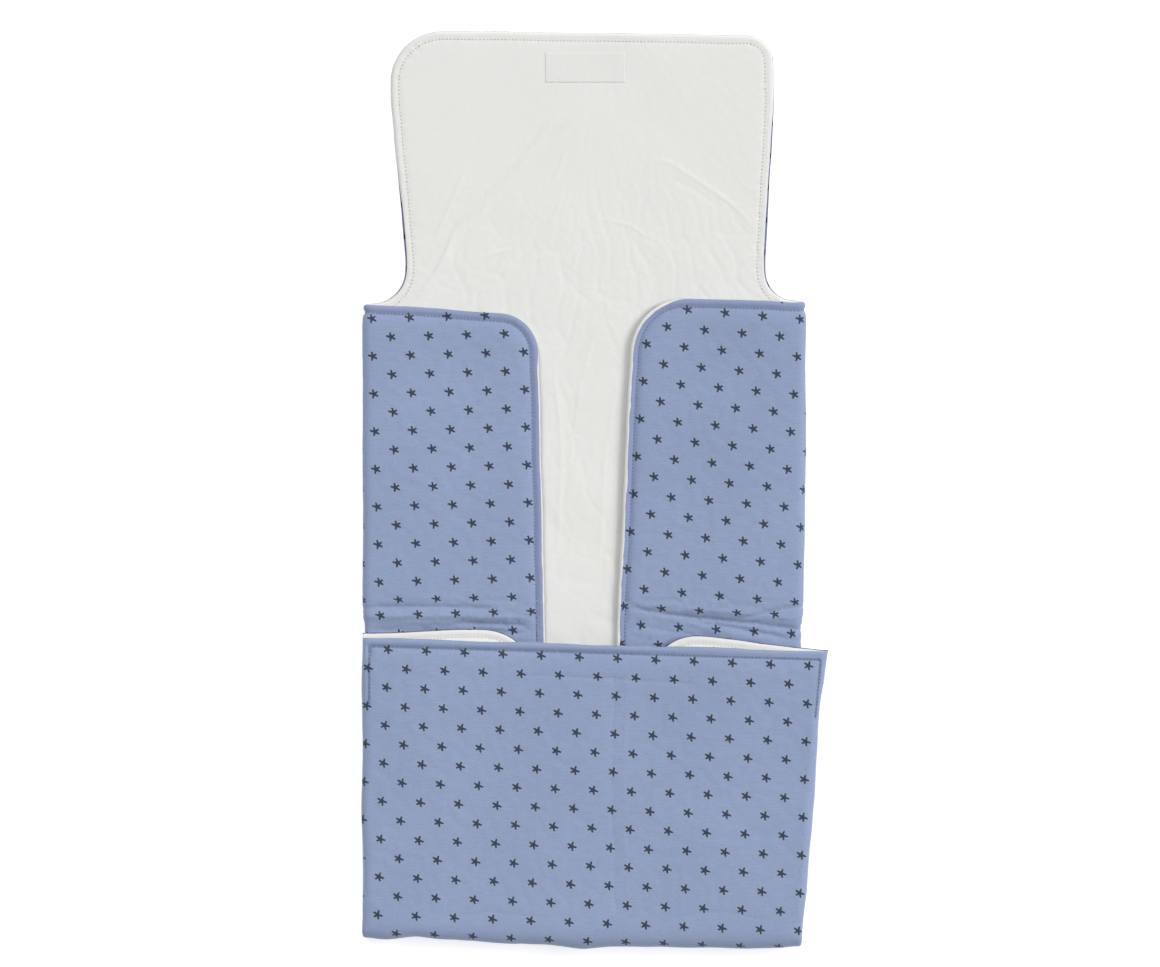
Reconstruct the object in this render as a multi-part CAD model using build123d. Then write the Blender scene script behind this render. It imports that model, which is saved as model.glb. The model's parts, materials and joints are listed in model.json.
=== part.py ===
"""Padded baby sleeping bag, closed and lying flat on its back.

A long centre panel (head, body and foot) is quilted from three layers. Two side wings
fold in over the body, and the foot flap, with a folded-in wing of its own on each side,
folds up over them. Millimetres, +Z up, +Y towards the head, origin under the middle.
"""
import os
from math import hypot

from build123d import *

# Layers of every panel
SKIN = 0.8                      # outer cotton, and the white lining
WADDING = 4.4
PANEL = WADDING + 2 * SKIN
WADDING_INSET = 1.5             # the wadding stops short of the turned edge

# Heights of the stacked panels
BODY_GAP = 5.0                  # room between the back and the wings
LAYER_GAP = 0.6                 # between panels of different bodies
FLAP_GAP = 0.4                  # between the foot flap and its own wings
WING_Z = PANEL + BODY_GAP
FOOT_WING_Z = WING_Z + PANEL + LAYER_GAP
FLAP_Z = FOOT_WING_Z + PANEL + FLAP_GAP
FLAP_TOP = FLAP_Z + PANEL

# Folds: each is a half tube between two stacked panels
SIDE_FOLD_R = (WING_Z + PANEL) / 2
FOOT_FOLD_R = FLAP_TOP / 2
EDGE_FOLD_R = (FLAP_TOP - FOOT_WING_Z) / 2
EDGE_FOLD_Z = FOOT_WING_Z + EDGE_FOLD_R

# Centre lines of the folds, seen from above
FOOT_Y = -392.7                 # of the foot fold, in the middle
FOOT_SLOPE = -0.0212            # the foot is folded up slightly askew
LEFT_SHOULDER = (-200.5, 168.0)
RIGHT_SHOULDER = (182.5, 170.5)
LEFT_FOOT_X = -200.5
RIGHT_FOOT_X = 177.5
FOLD_END_GAP = 4.0              # the side folds and wings stop short of the foot fold
FOOT_FOLD_X = (-209.0, 187.0)   # ends of the foot fold

# Head panel
NECK_Y = 207.0
NECK_GAP = 0.3
NECK_LEFT = -170.3
NECK_RIGHT = 154.2
HEAD_TOP_LEFT = (-183.8, 414.2)
HEAD_TOP_RIGHT = (161.0, 409.6)
HEAD_SIDE_Y = 350.0             # where the sides of the head panel stop widening
HEAD_SIDE_R = 60.0
HEAD_LEFT_CORNER_R = 48.0
HEAD_RIGHT_CORNER_R = 24.0
LEFT_FLARE_R = 29.0
RIGHT_FLARE_R = 26.0

# Wings
LEFT_WING_CORNER = (-51.0, 157.5)
RIGHT_WING_CORNER = (34.5, 174.5)
LEFT_WING_CORNER_R = 38.0
RIGHT_WING_CORNER_R = 50.0
TAIL_Y = -118.0                 # below this line a wing is tucked under the foot flap
TAIL_GAP = 0.3
LEFT_TAIL_X = (-44.8, -38.0)    # inner edge at the tuck line and at the foot
RIGHT_TAIL_X = (19.8, 11.0)
TAIL_CORNER_R = 30.0

# Foot flap and its wings
FLAP_TOP_LEFT = (-202.6, -133.0)
FLAP_TOP_RIGHT = (204.0, -145.0)
FLAP_FOOT_X = (-203.2, 180.0)
FOOT_WING_WIDTH = 155.0
LEFT_FOOT_WING_RISE = 8.1       # how far its rounded end stands above the flap's hem
RIGHT_FOOT_WING_RISE = 3.3
FOOT_WING_CORNER_R = 46.0
FOOT_WING_MITRE = 16.0          # its lower end is cut at 45 degrees, clear of the fold

# Trim
STITCH_WIDTH = 0.7
STITCH_HEIGHT = 0.15
STITCH_MARGIN = 7.5             # from the edge to the row of topstitching
FLAP_STITCH_DROP = 60.0         # how far the hem's stitching turns down each side
LABEL_CENTRE = (-8.7, 380.5)
LABEL_SIZE = (72.0, 27.0, 0.4)

LAYERS = (("outer", 0.0, SKIN), ("wadding", SKIN, WADDING), ("lining", SKIN + WADDING, SKIN))

nodes = {}


def outline(points, radii=None):
    """A closed flat face through the points, each corner rounded by its own radius."""
    radii = radii or [0.0] * len(points)
    return make_face(FilletPolyline(*points, radius=radii, close=True))


def along(start, end, distance, inward=0.0, side=1):
    """The point at a distance from start towards end, moved inward across that line.

    side is 1 where inward is to the right of the line, and -1 where it is to the left.
    """
    length = hypot(end[0] - start[0], end[1] - start[1])
    ux, uy = (end[0] - start[0]) / length, (end[1] - start[1]) / length
    return (
        start[0] + ux * distance + side * uy * inward,
        start[1] + uy * distance - side * ux * inward,
    )


def on_foot_fold(x):
    """The point of the foot fold's centre line at x."""
    return (x, FOOT_Y + FOOT_SLOPE * x)


def at_height(start, end, y):
    """The point at y of the line through start and end."""
    share = (y - start[1]) / (end[1] - start[1])
    return (start[0] + share * (end[0] - start[0]), y)


def add_panel(name, face, bottom, outer_down):
    """Three flat layers: the outer cotton below if outer_down, else on top."""
    wadding = offset(face, amount=-WADDING_INSET, kind=Kind.INTERSECTION)
    for layer, height, thickness in LAYERS:
        if not outer_down:
            height = PANEL - height - thickness
        flat = wadding if layer == "wadding" else face
        nodes[f"{name}_{layer}"] = Pos(0, 0, bottom + height) * extrude(flat, thickness)


def add_fold(name, start, end, middle_z, radius, side):
    """Three nested half tubes along the line from start to end, open towards inward."""
    run = Vector(end[0] - start[0], end[1] - start[1], 0)
    outward = Vector(-run.Y, run.X, 0) * side
    section = Plane(origin=(start[0], start[1], middle_z), x_dir=outward, z_dir=run)
    for layer, depth, thickness in LAYERS:
        ring = Circle(radius - depth) - Circle(radius - depth - thickness)
        half = ring & (Pos(radius, 0) * Rectangle(2 * radius, 2 * radius))
        nodes[f"{name}_{layer}"] = extrude(section * half, run.length)


def stitch_row(points, radii, top):
    """A thin raised row of stitching along an open path of lines and arcs."""
    path = FilletPolyline(*points, radius=radii)
    return Pos(0, 0, top) * extrude(trace(path, line_width=STITCH_WIDTH), STITCH_HEIGHT)


def make_back():
    face = outline(
        [
            on_foot_fold(LEFT_FOOT_X), LEFT_SHOULDER, (NECK_LEFT, LEFT_SHOULDER[1]),
            (NECK_LEFT, NECK_Y), (NECK_RIGHT, NECK_Y), (NECK_RIGHT, RIGHT_SHOULDER[1]),
            RIGHT_SHOULDER, on_foot_fold(RIGHT_FOOT_X),
        ],
        [0, 0, LEFT_FLARE_R, 0, 0, RIGHT_FLARE_R, 0, 0],
    )
    add_panel("back", face, 0.0, outer_down=True)
    left = stitch_row(
        [
            (LEFT_SHOULDER[0], LEFT_SHOULDER[1] - STITCH_MARGIN),
            (NECK_LEFT + STITCH_MARGIN, LEFT_SHOULDER[1] - STITCH_MARGIN),
            (NECK_LEFT + STITCH_MARGIN, NECK_Y),
        ],
        [LEFT_FLARE_R + STITCH_MARGIN],
        PANEL,
    )
    right = stitch_row(
        [
            (RIGHT_SHOULDER[0], RIGHT_SHOULDER[1] - STITCH_MARGIN),
            (NECK_RIGHT - STITCH_MARGIN, RIGHT_SHOULDER[1] - STITCH_MARGIN),
            (NECK_RIGHT - STITCH_MARGIN, NECK_Y),
        ],
        [RIGHT_FLARE_R + STITCH_MARGIN],
        PANEL,
    )
    nodes["shoulder_topstitch"] = Compound(children=[left, right])


def make_head():
    base = NECK_Y + NECK_GAP
    points = [
        (NECK_LEFT, base), (HEAD_TOP_LEFT[0], HEAD_SIDE_Y), HEAD_TOP_LEFT,
        HEAD_TOP_RIGHT, (HEAD_TOP_RIGHT[0] + 0.5, HEAD_SIDE_Y), (NECK_RIGHT, base),
    ]
    corners = [HEAD_SIDE_R, HEAD_LEFT_CORNER_R, HEAD_RIGHT_CORNER_R, HEAD_SIDE_R]
    add_panel("head", outline(points, [0, *corners, 0]), 0.0, outer_down=True)
    m = STITCH_MARGIN
    nodes["head_topstitch"] = stitch_row(
        [
            (NECK_LEFT + m, base), (HEAD_TOP_LEFT[0] + m, HEAD_SIDE_Y),
            (HEAD_TOP_LEFT[0] + m, HEAD_TOP_LEFT[1] - m),
            (HEAD_TOP_RIGHT[0] - m, HEAD_TOP_RIGHT[1] - m),
            (HEAD_TOP_RIGHT[0] + 0.5 - m, HEAD_SIDE_Y), (NECK_RIGHT - m, base),
        ],
        [HEAD_SIDE_R, HEAD_LEFT_CORNER_R - m, HEAD_RIGHT_CORNER_R - m, HEAD_SIDE_R],
        PANEL,
    )
    x, y = LABEL_CENTRE
    label = Box(*LABEL_SIZE, align=(Align.CENTER, Align.CENTER, Align.MIN))
    nodes["blank_label"] = Pos(x, y, PANEL) * fillet(label.edges().filter_by(Axis.Z), 2.0)


def make_wing(side_name, shoulder, foot_x, corner, corner_r, tail_x, side):
    """One wing: the part that lifts, its tail under the foot flap, and its side fold."""
    foot = on_foot_fold(foot_x)
    foot_end = along(foot, shoulder, FOLD_END_GAP)
    upper = outline(
        [
            at_height(foot, shoulder, TAIL_Y), at_height(foot, shoulder, shoulder[1] - 1.5),
            corner, (tail_x[0], TAIL_Y),
        ],
        [0, 0, corner_r, 0],
    )
    add_panel(f"{side_name}_wing", upper, WING_Z, outer_down=False)
    tail_top = TAIL_Y - TAIL_GAP
    tail = outline(
        [
            foot_end, at_height(foot, shoulder, tail_top),
            (tail_x[0], tail_top), (tail_x[1], foot_end[1]),
        ],
        [0, 0, 0, TAIL_CORNER_R],
    )
    add_panel(f"{side_name}_wing_tail", tail, WING_Z, outer_down=False)
    add_fold(f"{side_name}_side_fold", foot_end, shoulder, SIDE_FOLD_R, SIDE_FOLD_R, side)
    m = STITCH_MARGIN * side
    nodes[f"{side_name}_wing_topstitch"] = stitch_row(
        [
            (shoulder[0], shoulder[1] - STITCH_MARGIN - 1.5),
            (corner[0] - m, corner[1] - STITCH_MARGIN),
            (tail_x[0] - m, TAIL_Y),
        ],
        [corner_r - STITCH_MARGIN],
        WING_Z + PANEL,
    )


def make_foot_wing(side_name, foot_x, top, rise_above, side):
    """The foot flap's own wing, folded in under it, and the fold that joins them."""
    foot = on_foot_fold(foot_x)
    hem = hypot(top[0] - foot[0], top[1] - foot[1])
    rise = hem + rise_above
    width = FOOT_WING_WIDTH

    def at(distance, inward):
        return along(foot, top, distance, inward, side)

    mitre = FOOT_WING_MITRE
    face = outline(
        [at(mitre, 0), at(hem + 1.0, 0), at(rise, width / 2), at(rise, width), at(width + mitre, width)],
        [0, 0, 60, FOOT_WING_CORNER_R, 12],
    )
    add_panel(f"{side_name}_foot_wing", face, FOOT_WING_Z, outer_down=True)
    add_fold(f"{side_name}_foot_edge_fold", at(mitre, 0), top, EDGE_FOLD_Z, EDGE_FOLD_R, side)
    m = STITCH_MARGIN
    nodes[f"{side_name}_foot_wing_topstitch"] = stitch_row(
        [at(hem - m, 1), at(rise - m, width / 2), at(rise - m, width - m), at(width + mitre, width - m)],
        [60, FOOT_WING_CORNER_R - m],
        FOOT_WING_Z + PANEL,
    )


def make_foot_flap():
    left, right = (on_foot_fold(x) for x in FLAP_FOOT_X)
    face = outline([left, FLAP_TOP_LEFT, FLAP_TOP_RIGHT, right])
    add_panel("foot_flap", face, FLAP_Z, outer_down=False)
    left_end, right_end = (on_foot_fold(x) for x in FOOT_FOLD_X)
    add_fold("foot_fold", right_end, left_end, FOOT_FOLD_R, FOOT_FOLD_R, side=1)
    m = STITCH_MARGIN
    nodes["foot_flap_topstitch"] = stitch_row(
        [
            along(FLAP_TOP_LEFT, left, FLAP_STITCH_DROP, 1.0, side=-1),
            along(FLAP_TOP_LEFT, left, m, 1.0, side=-1),
            along(FLAP_TOP_RIGHT, right, m, 1.0, side=1),
            along(FLAP_TOP_RIGHT, right, FLAP_STITCH_DROP, 1.0, side=1),
        ],
        [3, 3],
        FLAP_TOP,
    )


make_back()
make_head()
make_wing("left", LEFT_SHOULDER, LEFT_FOOT_X, LEFT_WING_CORNER, LEFT_WING_CORNER_R, LEFT_TAIL_X, 1)
make_wing(
    "right", RIGHT_SHOULDER, RIGHT_FOOT_X, RIGHT_WING_CORNER, RIGHT_WING_CORNER_R, RIGHT_TAIL_X, -1
)
make_foot_flap()
make_foot_wing("left", FLAP_FOOT_X[0], FLAP_TOP_LEFT, LEFT_FOOT_WING_RISE, side=1)
make_foot_wing("right", FLAP_FOOT_X[1], FLAP_TOP_RIGHT, RIGHT_FOOT_WING_RISE, side=-1)

os.makedirs("parts", exist_ok=True)
for name, shape in nodes.items():
    shape.label = name
    export_step(shape, f"parts/{name}.step")

print(f"{len(nodes)} nodes")
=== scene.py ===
"""Looks for a padded baby sleeping bag that lies closed and flat on its back.

Every panel is one quilted piece: two cotton faces over wadding, pinched at the finished edge
and along the topstitching. A panel is drawn flat in the plane of the frame, with the cloth
that goes round its fold unrolled beyond the fold line, and is then rolled up round the fold.
Everything is in metres.
"""

import json
import math

import bpy
import numpy as np
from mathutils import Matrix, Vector, kdtree, noise
from mathutils.geometry import delaunay_2d_cdt


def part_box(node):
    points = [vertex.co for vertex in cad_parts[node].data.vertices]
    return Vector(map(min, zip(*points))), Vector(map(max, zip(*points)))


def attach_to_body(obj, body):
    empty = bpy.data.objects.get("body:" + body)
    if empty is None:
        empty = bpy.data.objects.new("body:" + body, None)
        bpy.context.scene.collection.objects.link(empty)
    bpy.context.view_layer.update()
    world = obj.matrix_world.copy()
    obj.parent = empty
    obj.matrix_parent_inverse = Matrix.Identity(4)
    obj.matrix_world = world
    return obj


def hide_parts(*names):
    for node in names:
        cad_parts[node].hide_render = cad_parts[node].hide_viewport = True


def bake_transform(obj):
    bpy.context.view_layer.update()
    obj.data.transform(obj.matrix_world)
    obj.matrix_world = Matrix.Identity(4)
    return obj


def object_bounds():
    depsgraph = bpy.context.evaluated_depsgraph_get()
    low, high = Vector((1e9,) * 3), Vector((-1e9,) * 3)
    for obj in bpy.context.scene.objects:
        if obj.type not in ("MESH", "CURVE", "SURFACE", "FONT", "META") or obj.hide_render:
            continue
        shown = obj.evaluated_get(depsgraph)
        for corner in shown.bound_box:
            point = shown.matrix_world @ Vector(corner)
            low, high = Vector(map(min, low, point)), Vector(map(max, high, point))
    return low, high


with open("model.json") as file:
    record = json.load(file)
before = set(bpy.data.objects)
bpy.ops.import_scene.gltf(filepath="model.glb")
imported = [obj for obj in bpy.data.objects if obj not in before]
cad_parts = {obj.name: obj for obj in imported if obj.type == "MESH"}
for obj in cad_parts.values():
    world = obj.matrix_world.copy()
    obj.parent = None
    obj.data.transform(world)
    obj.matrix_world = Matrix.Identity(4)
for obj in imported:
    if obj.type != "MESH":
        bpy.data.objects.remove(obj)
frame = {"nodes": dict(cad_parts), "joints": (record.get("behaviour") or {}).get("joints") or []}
cad_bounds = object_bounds()
joints = {joint["name"]: joint for joint in frame["joints"]}

MM = 0.001

# Panels
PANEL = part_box("back_lining")[1].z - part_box("back_outer")[0].z
FOOT_WING_PANEL = PANEL - 0.8 * MM   # the foot wings lie close under the flap
FOOT_WING_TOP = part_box("left_foot_wing_lining")[1].z - 0.5 * MM
FLAP_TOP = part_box("foot_flap_outer")[1].z
ROLL_R = PANEL                       # outer radius of the flap's rolled side edges

# Sewing
STITCH_MARGIN = 7.5 * MM             # from a finished edge to its topstitching
STITCH_PITCH = 3.3 * MM
STITCH_LENGTH = 2.4 * MM
THREAD_R = 0.27 * MM
FLAP_STITCH_DROP = 60 * MM           # how far the hem's stitching turns down each side

# Section of a quilted edge
EDGE_R = 2.6 * MM                    # roundness of a finished edge
EDGE_DROOP = 0.45                    # the edge lies lower than the panel's middle, by this share
HEM_RISE = 17 * MM                   # the panel is at full thickness this far in
GROOVE_WIDTH = 2.0 * MM
PUCKER = 0.28 * MM

# Printed stars
STAR_ARMS = (                        # degrees from the longest arm, and length
    (0, 4.8 * MM), (90, 4.1 * MM), (166, 4.5 * MM), (229, 4.1 * MM), (299, 4.5 * MM),
)
STAR_ARM_BASE = 2.3 * MM
STAR_ARM_TIP = 1.5 * MM

# How the closed panels settle
WING_SAG = 3.6 * MM                  # onto the back, away from the side fold
FLAP_SAG = 2.2 * MM                  # between the flap's own two wings
FOOT_WING_SAG = 2.6 * MM
LEFT_FOOT_WING_LIFT = 3.4 * MM       # it lies higher than its flat outline near the fold,
LEFT_FOOT_WING_SHIFT = 6 * MM        # and its free end lies nearer the side

# The folds between the pieces' bodies
NECK_BEND = 20 * MM                  # to each side of the neck's fold
FOLD_START = 1 * MM                  # height where a fold's bend begins
FOOT_WING_RIM = 0.8 * MM             # how much outer cotton shows round the foot wings

# Cloth simulation
EXCESS_CLOTH = 0.012                 # the cotton is cut this much larger than its panel
HOLD = 0.42                          # how firmly the wadding holds it
CLOTH_REACH = 1.4 * MM               # it moves no further than this
CLOTH_FRAMES = 12

# Mesh
EDGE_STEP = 2.5 * MM                 # between points along an outline
LATTICE_STEP = 3.6 * MM
FINE_STEP = 2.4 * MM
EDGE_RINGS = (0.25 * MM, 0.8 * MM, 1.6 * MM, 2.7 * MM)
ROW_RINGS = (0.8 * MM, 1.8 * MM, 3.2 * MM)
CREASE_RINGS = (0, 1.3 * MM, -1.3 * MM, 3 * MM, -3 * MM)
ROW_CLEAR = 3.4 * MM                 # how far each kind of point keeps from the edges
CREASE_CLEAR = 4 * MM
FINE_CLEAR = 1.4 * MM
LATTICE_CLEAR = 1.6 * MM

# Colours, linear
BLUE = (0.259, 0.321, 0.482, 1)
# Darker, purpler blue: the cotton's blue with painted shade, for hem bands and for edges where the cotton
# shows
BLUE_EDGE_SHADE = (0.226, 0.255, 0.430, 1)
# Near-black blue along the stitch grooves: partly the dark thread sunk in the groove, partly painted shade
# in it
BLUE_GROOVE_SHADE = (0.085, 0.108, 0.200, 1)
STAR_DARK = (0.014, 0.020, 0.032, 1)
WHITE = (0.745, 0.745, 0.725, 1)
WHITE_SHADE = (0.640, 0.640, 0.618, 1)


# ---------------------------------------------------------------- flat drawing

def smooth(x):
    """0 below 0, 1 above 1, and a smooth step between."""
    x = np.clip(x, 0, 1)
    return x * x * (3 - 2 * x)


def perlin(points, size, seed):
    """Smooth noise from about -1 to 1, with features of that size."""
    size = np.broadcast_to(size, 2)
    return np.array([noise.noise((x / size[0], y / size[1], seed * 7.31)) for x, y in points]) * 1.7


def top_outline(node):
    """The outline of a CAD node's flat top, anticlockwise."""
    mesh = frame["nodes"][node].data
    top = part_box(node)[1].z
    numbers, edges = {}, set()
    for face in mesh.polygons:
        corners = [mesh.vertices[i].co for i in face.vertices]
        if all(abs(c.z - top) < 0.01 * MM for c in corners):
            ids = [numbers.setdefault((round(c.x, 6), round(c.y, 6)), len(numbers)) for c in corners]
            edges.update(zip(ids, ids[1:] + ids[:1]))
    after = {a: b for a, b in edges if (b, a) not in edges}
    places = list(numbers)
    loop = [next(iter(after))]
    while after[loop[-1]] != loop[0]:
        loop.append(after[loop[-1]])
    return np.array([places[i] for i in loop])


def between(loop, start, end):
    """The outline's points from the one nearest to start round to the one nearest to end."""
    i, j = (int(np.linalg.norm(loop - np.array(p), axis=1).argmin()) for p in (start, end))
    return np.roll(loop, -i, axis=0)[: (j - i) % len(loop) + 1]


def evenly(line, step):
    """The line again, with points a step apart."""
    far = np.concatenate([[0], np.cumsum(np.linalg.norm(np.diff(line, axis=0), axis=1))])
    at = np.linspace(0, far[-1], max(2, int(round(far[-1] / step)) + 1))
    return np.stack([np.interp(at, far, line[:, k]) for k in (0, 1)], axis=1)


def inward(line):
    """Unit normals to the left of a line, which is inward on an anticlockwise outline."""
    run = np.gradient(line, axis=0)
    run /= np.linalg.norm(run, axis=1)[:, None]
    return np.stack([-run[:, 1], run[:, 0]], axis=1)


def soften(line, waves, seed):
    """A sewn edge: its facets smoothed out, and gently wavy, with its two ends kept."""
    ends = line[[0, -1]].copy()
    for _ in range(3):
        line[1:-1] = (line[:-2] + 2 * line[1:-1] + line[2:]) / 4
    along = np.arange(len(line)) * EDGE_STEP
    swing = perlin(np.stack([along, along * 0], 1), 70 * MM, seed)
    swing += 0.4 * perlin(np.stack([along, along * 0], 1), 24 * MM, seed + 1)
    fade = smooth(along / (30 * MM)) * smooth((along[-1] - along) / (30 * MM))
    line = line + inward(line) * (swing * fade * waves)[:, None]
    line[[0, -1]] = ends
    return line


def nearest(points, lines):
    """How far each point is from the nearest of the lines, and the place along it."""
    best, along = np.full(len(points), 1.0), np.zeros(len(points))
    offset = 0.0
    for line in lines:
        run = np.diff(line, axis=0)
        length = np.linalg.norm(run, axis=1)
        start = np.concatenate([[0], np.cumsum(length)[:-1]]) + offset
        for low in range(0, len(points), 2000):
            part = slice(low, low + 2000)
            p = points[part, None] - line[None, :-1]
            t = np.clip((p * run).sum(2) / length**2, 0, 1)
            away = np.linalg.norm(p - t[..., None] * run, axis=2)
            i = away.argmin(1)
            row = np.arange(len(i))
            closer = away[row, i] < best[part]
            best[part] = np.where(closer, away[row, i], best[part])
            along[part] = np.where(closer, start[i] + t[row, i] * length[i], along[part])
        offset += length.sum() + 0.1
    return best, along


def inside(points, loop):
    """True for the points inside a closed outline."""
    a, b = loop, np.roll(loop, -1, axis=0)
    found = np.zeros(len(points), bool)
    for (ax, ay), (bx, by) in zip(a, b):
        crosses = (ay > points[:, 1]) != (by > points[:, 1])
        with np.errstate(divide="ignore", invalid="ignore"):
            found ^= crosses & (points[:, 0] < (bx - ax) * (points[:, 1] - ay) / (by - ay) + ax)
    return found


def drawn(line):
    """A crease's line, in millimetres, as a smooth curve in metres."""
    line = evenly(np.array(line, float) * MM, 4 * MM)
    for _ in range(6):
        line[1:-1] = (line[:-2] + 2 * line[1:-1] + line[2:]) / 4
    return line


def creased(points, creases, fade=22 * MM):
    """The relief of long creases, each (line, width, height) in millimetres, that die out at their ends.

    A ridge has a positive height and a valley a negative one, and both have a sharp crest.
    """
    relief = np.zeros(len(points))
    for line, width, height in creases:
        line = drawn(line)
        away, along = nearest(points, [line])
        length = np.linalg.norm(np.diff(line, axis=0), axis=1).sum()
        ends = smooth(along / fade) * smooth((length - along) / fade)
        relief += height * MM * ends * np.exp(-((away / (width * MM)) ** 1.4))
    return relief


def crumpled(points, size, seed):
    """Sharp little valleys between flat facets, as in thin cotton over wadding: 0 down to -1."""
    size = np.broadcast_to(size, 2)
    gaps = []
    for x, y in points:
        far = noise.voronoi((x / size[0], y / size[1], seed * 3.17))[0]
        gaps.append(far[1] - far[0])
    return -np.exp(-np.array(gaps) / 0.16)


def linked(name, data):
    """A mesh, lamp or camera as an object in the scene."""
    made = bpy.data.objects.new(name, data)
    bpy.context.scene.collection.objects.link(made)
    return made


# ---------------------------------------------------------------- placing the cloth

class Lying:
    """Places flat cloth level, with its middle at height z and none of it below the floor."""

    def __init__(self, z, sag=None):
        self.z, self.sag = z, sag

    def __call__(self, points, h):
        drop = self.sag(points) if self.sag else 0
        return np.column_stack([points, np.maximum(self.z + h - drop, 0)])

    def printed(self, points):
        """Where on its cloth each point of the face is."""
        return points


class Rolled(Lying):
    """Places cloth that lies over a fold and goes down round it to the panel below.

    The cloth beyond the joint's fold line, seen from the middle of the back, is rolled round.
    bluntness is 1 for a round fold, and less for one that is pressed squarer. bulge is how far
    the fold stands out past its nominal radius at each place.
    """

    def __init__(self, joint, sag, bluntness, bulge):
        self.origin = np.array(joint["pos_m"][:2])
        self.centre_z = joint["pos_m"][2]
        axis = np.array(joint["axis"][:2])
        normal = np.array([-axis[1], axis[0]])
        self.inward = normal * np.sign(-self.origin @ normal)
        self.middle_r = self.centre_z - PANEL / 2
        self.sag, self.bluntness, self.bulge = sag, bluntness, bulge

    def depth(self, points):
        """How far inward of the fold line the points are."""
        return (points - self.origin) @ self.inward

    def unrolled(self):
        """The shift from the fold line to the cloth's end at the panel below."""
        return -self.inward * math.pi * self.middle_r

    def printed(self, points):
        """Where on its cloth each point of the outer face is, unstretched round the fold."""
        beyond = np.minimum(self.depth(points), 0)[:, None] * self.inward
        length = np.zeros(len(points))
        before = self(points - beyond, PANEL / 2)
        for part in np.linspace(0, 1, 25)[1:]:
            at = self(points - beyond * (1 - part), PANEL / 2)
            length += np.linalg.norm(at - before, axis=1)
            before = at
        return points - beyond - self.inward * length[:, None]

    def __call__(self, points, h):
        depth = self.depth(points)
        angle = np.clip(-depth / self.middle_r, 0, None)
        radius = self.middle_r + h
        s, c = np.sin(np.clip(angle, 0, math.pi)), np.cos(angle)
        across = np.where(depth < 0, -(radius + self.bulge(points)) * s ** self.bluntness, depth)
        z = self.centre_z + radius * np.sign(c) * np.abs(c) ** self.bluntness
        z = z - self.sag(points) * (depth > 0)
        flat = points + (across - depth)[:, None] * self.inward
        return np.column_stack([flat, np.maximum(z, 0)])


# ---------------------------------------------------------------- quilted panels

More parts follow.
